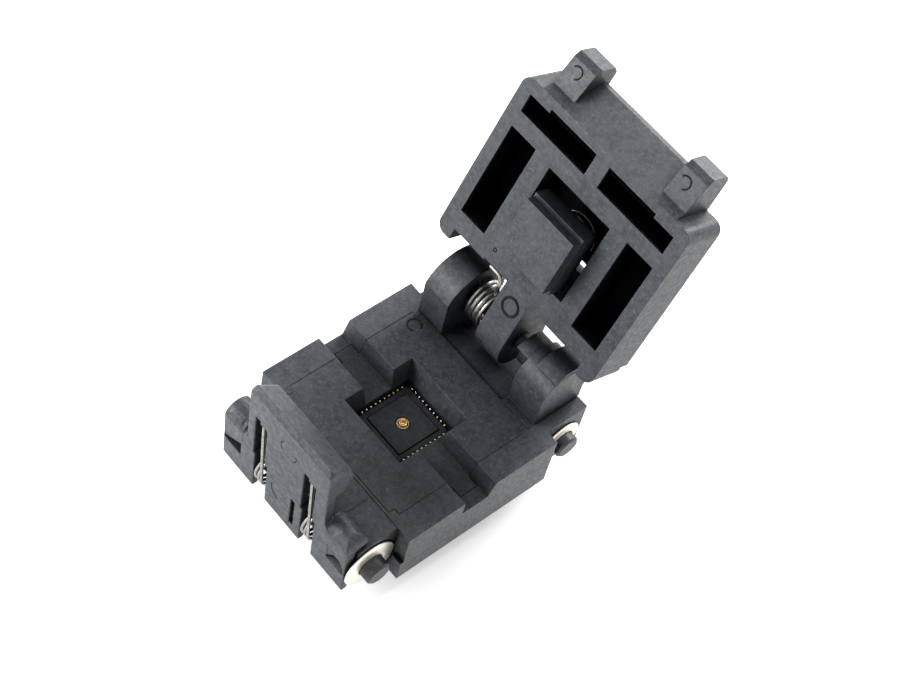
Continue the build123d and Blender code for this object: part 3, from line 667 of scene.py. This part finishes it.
for vertex in mesh.vertices:
    x, y, z = vertex.co / MM
    front = -12.93 - 0.037 * (z - 3.2)
    if abs(y - front) < 0.16:
        vertex.co.y += scoop(x, z) * MM
mesh.materials.clear()
mesh.materials.append(housing)
mesh.shade_smooth()
latch = bpy.data.objects.new("latch_shell", mesh)
scene.collection.objects.link(latch)
thin = latch.modifiers.new("thin", "DECIMATE")
thin.ratio = 0.35
slim = bpy.data.meshes.new_from_object(latch.evaluated_get(bpy.context.evaluated_depsgraph_get()))
latch.modifiers.clear()
latch.data = slim
slim.shade_smooth()
# painted shade: faces deep in the ear scoops take the near-black mark material
slim.materials.append(painted_mark_shade)
HOLLOW = 0.17
for face in slim.polygons:
    x, y, z = face.center / MM
    if y < -12.2 and scoop(x, z) > HOLLOW:
        face.material_index = 1
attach(latch, "latch_lever")
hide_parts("latch")

# studio: white floor that keeps the shadow, soft lamps, pale world

floor_mesh = bpy.data.meshes.new("floor")
half = 2.0
low = cad_box[0][2] - 0.00002
floor_mesh.from_pydata([(-half, -half, low), (half, -half, low), (half, half, low), (-half, half, low)], [], [(0, 1, 2, 3)])
floor = bpy.data.objects.new("floor", floor_mesh)
scene.collection.objects.link(floor)
mat, tree, shader = new_material("pale_floor")
shader.inputs["Base Color"].default_value = (0.93, 0.93, 0.93, 1)
shader.inputs["Roughness"].default_value = 0.7
shader.inputs["Specular IOR Level"].default_value = 0.0
shader.inputs["Emission Color"].default_value = (1.0, 1.0, 1.0, 1)


def seen_rays(tree):
    """One for rays from the eye, and for those of mirrors and clear pieces."""
    rays = add(tree, "ShaderNodeLightPath")
    first = add(tree, "ShaderNodeMath", operation="ADD")
    second = add(tree, "ShaderNodeMath", operation="ADD", use_clamp=True)
    tree.links.new(rays.outputs["Is Camera Ray"], first.inputs[0])
    tree.links.new(rays.outputs["Is Glossy Ray"], first.inputs[1])
    tree.links.new(first.outputs[0], second.inputs[0])
    tree.links.new(rays.outputs["Is Transmission Ray"], second.inputs[1])
    return second.outputs[0]


tree.links.new(span(tree, seen_rays(tree), 0.0, 1.0, 0.0, 0.44), shader.inputs["Emission Strength"])
floor_mesh.materials.append(mat)

world = bpy.data.worlds.new("studio")
scene.world = world
world.use_nodes = True
tree = world.node_tree
back = tree.nodes["Background"]
back.inputs["Color"].default_value = (1.0, 1.0, 1.0, 1)
tree.links.new(span(tree, seen_rays(tree), 0.0, 1.0, 0.40, 1.0), back.inputs["Strength"])


def lamp(name, place, target, size, power):
    data = bpy.data.lights.new(name, "AREA")
    data.shape = "SQUARE"
    data.size = size
    data.energy = power
    obj = bpy.data.objects.new(name, data)
    scene.collection.objects.link(obj)
    obj.location = place
    obj.rotation_euler = (Vector(target) - Vector(place)).to_track_quat("-Z", "Y").to_euler()
    return obj


lamp("key", (-0.19, -0.20, 0.12), (0, 0, 0.005), 0.13, 1.1)
lamp("back", (-0.03, 0.235, 0.17), (0, 0, 0), 0.14, 1.2)

camera_data = bpy.data.cameras.new("camera")
camera = bpy.data.objects.new("camera", camera_data)
scene.collection.objects.link(camera)
camera_data.sensor_width = 36.0
camera_data.lens = 2044.64 / 908 * 36.0
camera_data.clip_start = 0.01
camera_data.clip_end = 10
right = Vector((0.634256, 0.757837, 0.152978))
down = Vector((0.692410, -0.468785, -0.548460))
ahead = Vector((-0.343930, 0.453787, -0.822064))
turn = Matrix((right, -down, -ahead)).transposed().to_4x4()
camera.matrix_world = Matrix.Translation(Vector((58.841, -73.768, 155.004)) * MM) @ turn
scene.camera = camera
scene.view_settings.view_transform = "Standard"
